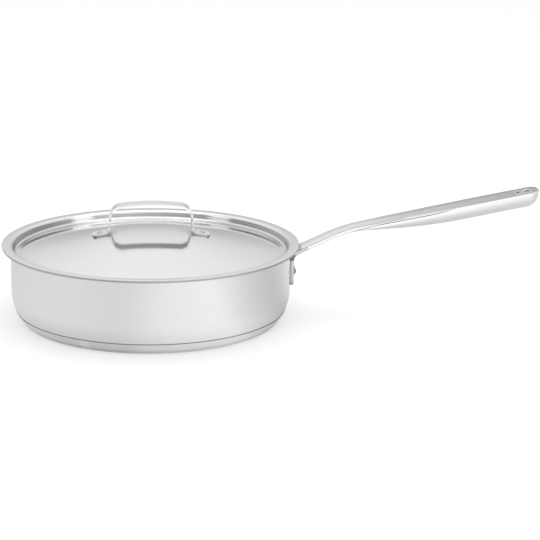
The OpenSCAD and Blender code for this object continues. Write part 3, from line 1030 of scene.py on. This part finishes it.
def floor_glow(n):
    """How bright the lifted floor is in the metal, by its direction from the pan."""
    x, y = n.split(n.add("ShaderNodeTexCoord").outputs["Object"])[:2]
    angle = n.math("ADD", n.math("ARCTAN2", x, n.math("MULTIPLY", y, -1.0)),
                   math.radians(AZIMUTH_OFF))
    glow = n.add("ShaderNodeFloatCurve")
    curve = glow.mapping.curves[0]
    while len(curve.points) < len(FLOOR_GLOW):
        curve.points.new(0.5, 0.5)
    for point, (turn, level) in zip(curve.points, FLOOR_GLOW):
        point.location = (0.5 + turn / 360, level / GLOW_TOP)
    glow.mapping.update()
    n.feed(n.math("MULTIPLY_ADD", angle, 1 / (2 * math.pi), 0.5), glow.inputs["Value"])
    return n.math("MULTIPLY", glow.outputs["Value"], GLOW_TOP)


def make_floor():
    """Pale floor; the camera and the metal see it lifted to white, shadows kept. The node
    that picks the lift's strength has its two values at its inputs 2 and 3."""
    bm = bmesh.new()
    bmesh.ops.create_grid(bm, x_segments=1, y_segments=1, size=FLOOR_HALF * MM)
    floor = new_object("floor", bm)
    n = Nodes(bpy.data.materials.new("floor"))
    n.feed((FLOOR_GREY, FLOOR_GREY, FLOOR_GREY, 1), n.shader.inputs["Base Color"])
    n.feed(FLOOR_ROUGH, n.shader.inputs["Roughness"])
    n.feed(0.0, n.shader.inputs["Specular IOR Level"])
    rays = n.add("ShaderNodeLightPath").outputs
    to_camera = rays["Is Camera Ray"]
    seen = n.math("MAXIMUM", n.math("MAXIMUM", to_camera, rays["Is Glossy Ray"]),
                  rays["Is Transmission Ray"])
    level = n.add("ShaderNodeMix", data_type="FLOAT")
    for value, into in ((to_camera, 0), (floor_glow(n), 2), (FLOOR_LIFT, 3)):
        n.feed(value, level.inputs[into])
    lift = n.add("ShaderNodeEmission")
    n.feed(level.outputs[0], lift.inputs["Strength"])
    plain = n.shader.outputs[0]
    lifted = n.mix_shaders(FLOOR_LIFT_SHARE, plain, lift.outputs[0])
    n.feed(n.mix_shaders(seen, plain, lifted), n.tree.nodes["Material Output"].inputs[0])
    floor.data.materials.append(n.owner)
    floor.location.z = -FLOOR_DROP * MM


def area_light(name, place, target, size, power):
    """Oblong lamp; places and sizes in metres."""
    data = bpy.data.lights.new(name, "AREA")
    data.shape = "RECTANGLE"
    data.size, data.size_y = size
    data.energy = power
    light = bpy.data.objects.new(name, data)
    light.location = place
    aim = Vector(target) - Vector(place)
    light.rotation_euler = aim.to_track_quat("-Z", "Y").to_euler()
    bpy.context.scene.collection.objects.link(light)


def make_lights():
    area_light("top", place=(0.1, 0.1, 1.5), target=(0.1, 0, 0), size=(1.4, 1.0), power=5)
    area_light("left", place=(-1.5, -0.6, 0.9), target=(0, 0, 0.05), size=(0.6, 1.0), power=1.5)
    area_light("right", place=(1.6, -0.7, 0.9), target=(0.1, 0, 0.05), size=(0.6, 1.0), power=2)


def dress_nodes(materials):
    """Gives each CAD mesh the material of the piece that is drawn in its place."""
    for name, material in materials.items():
        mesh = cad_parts[name].data
        mesh.materials.clear()
        mesh.materials.append(material)


make_camera()
make_world()
make_floor()
make_lights()
spun = spun_steel()
lid = lid_steel()
brushed = brushed_steel()
bail = bail_steel()
polished = polished_steel()
# Painted shade, for the dark lines at seams and in the tube's hole
dark = painted_shade_steel()
shaded_studs = shaded_rivet_steel()
edge = shaded_cut_edge()
make_pan(spun, edge)
make_base(spun, dark)
make_strip(brushed, polished, dark, shaded_rough_cut())
make_shell(polished)
make_tube(polished, dark)
make_handle_rivets(shaded_studs)
make_lid(lid, edge)
make_bail(bail, unpolished_shaded_steel())
make_lid_rivets(shaded_studs)
dress_nodes({"pan_body": spun, "base_core": aluminium(), "base_cap": spun,
             "handle_strip": brushed, "handle_shell": polished, "hang_tube": polished,
             "handle_rivets": shaded_studs, "lid_shell": lid, "lid_handle": bail, "lid_rivets": shaded_studs})

bpy.context.scene.view_settings.view_transform = "Standard"
